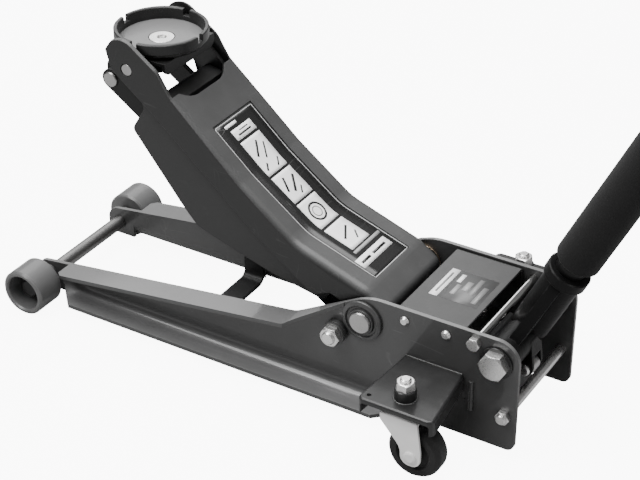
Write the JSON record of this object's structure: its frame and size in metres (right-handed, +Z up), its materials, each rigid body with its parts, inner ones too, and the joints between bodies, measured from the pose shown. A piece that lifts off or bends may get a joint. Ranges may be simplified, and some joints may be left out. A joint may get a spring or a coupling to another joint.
{
  "type": "hydraulic trolley jack",
  "caption": "Low hydraulic trolley jack with flanged side plates, a lift arm with a level swivelling saddle, front rollers, rear swivel casters and a pump handle.",
  "frame": {"origin": "on the floor, under the middle of the front axle", "axes": "+X forward to the saddle end, +Y to the left, +Z up"},
  "size_m": [1.104, 0.332, 1.0711],
  "materials": {
    "gloss_black_paint": "gloss powder coat",
    "zinc_plate": "bright zinc plate",
    "ground_steel": "ground",
    "chrome": "polished",
    "cast_casing": "satin black paint on a casting",
    "machined_steel": "satin, as machined",
    "bronze": "satin",
    "black_nylon": "moulded nylon",
    "foam": "soft foam",
    "grip_rubber": "ribbed rubber"
  },
  "bodies": {
    "frame": {"side_plate_left": "gloss_black_paint", "side_plate_right": "gloss_black_paint", "front_axle": "ground_steel", "axle_collars": "gloss_black_paint", "axle_end_caps": "zinc_plate", "cross_brace": "gloss_black_paint", "upper_tie_rod": "chrome", "lower_tie_rod": "zinc_plate", "tie_rod_nuts": "zinc_plate", "top_cover": "gloss_black_paint", "cover_screws": "zinc_plate", "arm_pivot_shaft": "ground_steel", "arm_pivot_bosses": "gloss_black_paint", "link_pivot_bolts": "zinc_plate", "link_pivot_bosses": "gloss_black_paint", "link_pivot_nuts": "zinc_plate", "pump_block": "cast_casing", "oil_reservoir": "gloss_black_paint", "ram_gland_nut": "zinc_plate", "oil_filler_plug": "zinc_plate", "caster_brackets": "gloss_black_paint", "caster_nuts": "zinc_plate", "caster_studs": "zinc_plate", "socket_pivot_bolts": "zinc_plate", "plunger_spring": "zinc_plate", "return_springs": "zinc_plate"},
    "arm": {"arm_top_shell": "gloss_black_paint", "arm_side_plates": "gloss_black_paint", "arm_pivot_tube": "gloss_black_paint", "arm_bushes": "bronze", "arm_cross_plates": "gloss_black_paint", "arm_ram_lugs": "gloss_black_paint", "ram_lug_pin": "ground_steel", "saddle_yoke_pins": "ground_steel"},
    "links": {"link_bars": "gloss_black_paint"},
    "saddle_bracket": {"saddle_yoke": "gloss_black_paint", "link_front_pins": "ground_steel"},
    "saddle": {"saddle_cup": "cast_casing", "saddle_bolt": "zinc_plate"},
    "ram": {"ram_rod": "chrome", "ram_crosshead": "machined_steel"},
    "front_roller_left": {"front_roller_left": "cast_casing"},
    "front_roller_right": {"front_roller_right": "cast_casing"},
    "caster_left": {"caster_fork_left": "zinc_plate"},
    "caster_right": {"caster_fork_right": "zinc_plate"},
    "caster_wheel_left": {"caster_wheel_left": "black_nylon"},
    "caster_wheel_right": {"caster_wheel_right": "black_nylon"},
    "handle_socket": {"handle_socket": "cast_casing", "pump_roller_pin": "zinc_plate", "handle_lock_bolt": "zinc_plate"},
    "pump_roller": {"pump_roller": "ground_steel"},
    "handle": {"handle_lower_tube": "gloss_black_paint", "handle_upper_tube": "gloss_black_paint", "handle_foam_sleeve": "foam", "handle_grip": "grip_rubber", "handle_spring_button": "zinc_plate", "release_drive_fork": "ground_steel"},
    "release_valve": {"release_valve_stem": "machined_steel"},
    "plunger": {"pump_plunger": "chrome"}
  },
  "joints": [
    {"name": "lift", "type": "hinge", "parent": "frame", "child": "arm", "pos_m": [-0.4423, 0, 0.1175], "axis": [0, -1, 0], "range_deg": [-34.5, 30.4]},
    {"name": "link_swing", "type": "hinge", "parent": "frame", "child": "links", "pos_m": [-0.4095, 0, 0.0925], "axis": [0, -1, 0], "range_deg": [-34.6, 30.5]},
    {"name": "saddle_level", "type": "hinge", "parent": "arm", "child": "saddle_bracket", "pos_m": [-0.12919, 0, 0.33318], "axis": [0, -1, 0], "range_deg": [-31, 35]},
    {"name": "saddle_turn", "type": "hinge", "parent": "saddle_bracket", "child": "saddle", "pos_m": [-0.13549, 0, 0.33318], "axis": [0, 0, 1], "continuous": true},
    {"name": "ram_stroke", "type": "slide", "parent": "frame", "child": "ram", "axis": [1, 0, 0], "range_m": [-0.0295, 0.0262], "deforming": ["return_springs"]},
    {"name": "front_roller_left_spin", "type": "hinge", "parent": "frame", "child": "front_roller_left", "pos_m": [0, 0, 0.029], "axis": [0, 1, 0], "continuous": true},
    {"name": "front_roller_right_spin", "type": "hinge", "parent": "frame", "child": "front_roller_right", "pos_m": [0, 0, 0.029], "axis": [0, 1, 0], "continuous": true},
    {"name": "caster_left_swivel", "type": "hinge", "parent": "frame", "child": "caster_left", "pos_m": [-0.533, 0.141, 0], "axis": [0, 0, 1], "continuous": true},
    {"name": "caster_right_swivel", "type": "hinge", "parent": "frame", "child": "caster_right", "pos_m": [-0.533, -0.141, 0], "axis": [0, 0, 1], "continuous": true},
    {"name": "caster_wheel_left_spin", "type": "hinge", "parent": "caster_left", "child": "caster_wheel_left", "pos_m": [-0.55, 0.141, 0.0315], "axis": [0, 1, 0], "continuous": true},
    {"name": "caster_wheel_right_spin", "type": "hinge", "parent": "caster_right", "child": "caster_wheel_right", "pos_m": [-0.55, -0.141, 0.0315], "axis": [0, 1, 0], "continuous": true},
    {"name": "handle_tilt", "type": "hinge", "parent": "frame", "child": "handle_socket", "pos_m": [-0.604, 0, 0.121], "axis": [0, 1, 0], "range_deg": [-44, 15]},
    {"name": "pump_roller_spin", "type": "hinge", "parent": "handle_socket", "child": "pump_roller", "pos_m": [-0.61703, 0.018, 0.09005], "axis": [0, 1, 0], "continuous": true},
    {"name": "handle_twist", "type": "hinge", "parent": "handle_socket", "child": "handle", "pos_m": [-0.604, 0, 0.121], "axis": [-0.4352, 0, 0.9003], "range_deg": [-90, 90]},
    {"name": "valve_turn", "type": "hinge", "parent": "frame", "child": "release_valve", "pos_m": [-0.604, 0, 0.121], "axis": [-0.8, 0, 0.6], "range_deg": [-90, 90]},
    {"name": "pump_stroke", "type": "slide", "parent": "frame", "child": "plunger", "axis": [1, 0, 0], "range_m": [-0.0086, 0.0249], "deforming": ["plunger_spring"]}
  ],
  "couplings": [
    {"joint": "link_swing", "follows": "lift", "ratio": 1},
    {"joint": "saddle_level", "follows": "lift", "ratio": -1},
    {"joint": "ram_stroke", "follows": "lift", "m_per_rad": 0.0475},
    {"joint": "valve_turn", "follows": "handle_twist", "ratio": 1},
    {"joint": "pump_stroke", "follows": "handle_tilt", "m_per_rad": -0.0322}
  ]
}
